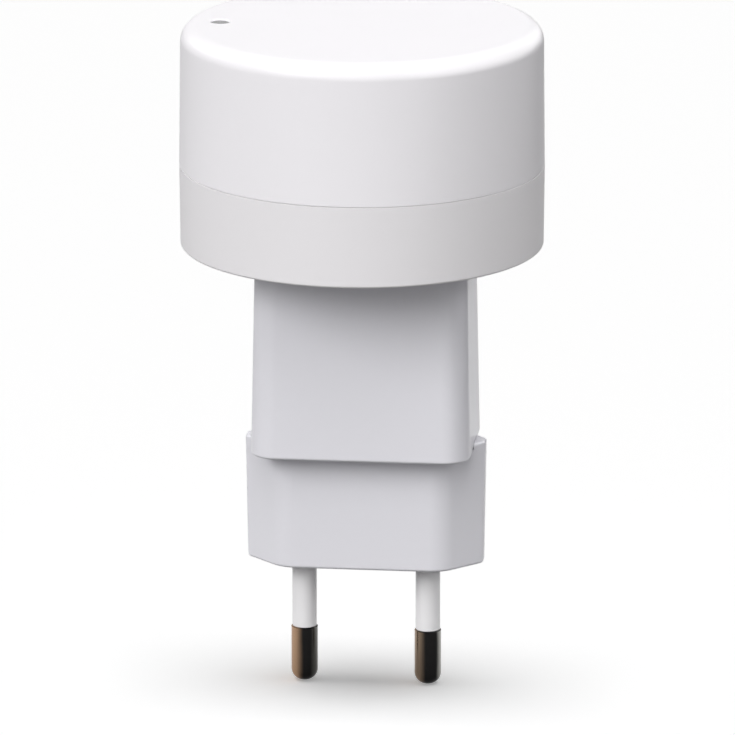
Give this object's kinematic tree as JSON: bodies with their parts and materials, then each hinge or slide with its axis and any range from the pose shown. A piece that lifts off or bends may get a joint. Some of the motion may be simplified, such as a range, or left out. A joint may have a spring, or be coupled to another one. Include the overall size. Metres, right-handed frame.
{
  "type": "smart lock gateway",
  "caption": "Round radio gateway for a smart lock, standing on a small USB mains adapter with a flat plug base and sleeved round pins.",
  "frame": {"origin": "middle of the plug's face, between the pins, in the plane that meets the socket", "axes": "+Z out of the wall through the adapter and up through the gateway; the pins stand side by side along X and point along -Z; -Y is the front that the picture shows, with the lamp near -X"},
  "size_m": [0.054, 0.054, 0.1014],
  "materials": {
    "gateway_cover": "satin white moulded plastic with a very fine grain",
    "gateway_base": "satin white moulded plastic",
    "adapter_housing": "smooth white moulded plastic, semi-gloss",
    "light_guide": "clear rod that looks grey with the lamp off",
    "pin_metal": "polished nickel plate on brass",
    "pin_sleeve": "pale smooth insulating plastic",
    "contact_strip": "bright spring bronze",
    "usb_contact": "gold flash",
    "steel_sheet": "folded tinned sheet",
    "screw_steel": "zinc plated",
    "tinned_wire": "tinned wire",
    "circuit_board": "green solder mask on glass fibre",
    "module_board": "dark blue solder mask on glass fibre",
    "usb_insulator": "black heat-proof plastic",
    "ferrite": "dull grey ferrite",
    "bobbin_plastic": "dark moulded resin",
    "winding_tape": "yellow polyester tape over copper wire",
    "chip_resin": "black moulded resin on tinned legs",
    "capacitor_can": "drawn can",
    "disc_coating": "blue dipped coating",
    "resistor_coating": "grey-green lacquer",
    "antenna_ceramic": "white fired ceramic",
    "lamp": "pale resin lens"
  },
  "bodies": {
    "root": {"top_cover": "gateway_cover", "base_cover": "gateway_base", "light_pipe": "light_guide", "plug_base": "adapter_housing", "adapter_body": "adapter_housing", "pin_left": "pin_metal", "pin_right": "pin_metal", "pin_sleeve_left": "pin_sleeve", "pin_sleeve_right": "pin_sleeve", "contact_strip_left": "contact_strip", "contact_strip_right": "contact_strip", "adapter_board": "circuit_board", "main_board": "circuit_board", "usb_socket_shell": "steel_sheet", "usb_plug_shell": "steel_sheet", "usb_socket_insulator": "usb_insulator", "usb_plug_insulator": "usb_insulator", "usb_socket_contacts": "usb_contact", "usb_plug_contacts": "usb_contact", "transformer_core_lower": "ferrite", "transformer_core_upper": "ferrite", "transformer_bobbin": "bobbin_plastic", "transformer_winding": "winding_tape", "transformer_pins": "tinned_wire", "safety_capacitor": "disc_coating", "fuse_resistor": "resistor_coating", "bridge_rectifier": "chip_resin", "control_chip": "chip_resin", "output_diode": "chip_resin", "board_screws": "screw_steel", "status_led": "lamp", "wifi_module_board": "module_board", "wifi_module_shield": "steel_sheet", "wifi_antenna": "usb_contact", "bluetooth_chip": "chip_resin", "bluetooth_antenna": "antenna_ceramic", "crystal": "steel_sheet", "memory_chip": "chip_resin", "voltage_regulator": "chip_resin", "power_inductor": "ferrite", "buffer_capacitors": "capacitor_can", "input_capacitor_lower": "capacitor_can", "input_capacitor_upper": "capacitor_can", "output_capacitor": "capacitor_can"}
  },
  "joints": []
}
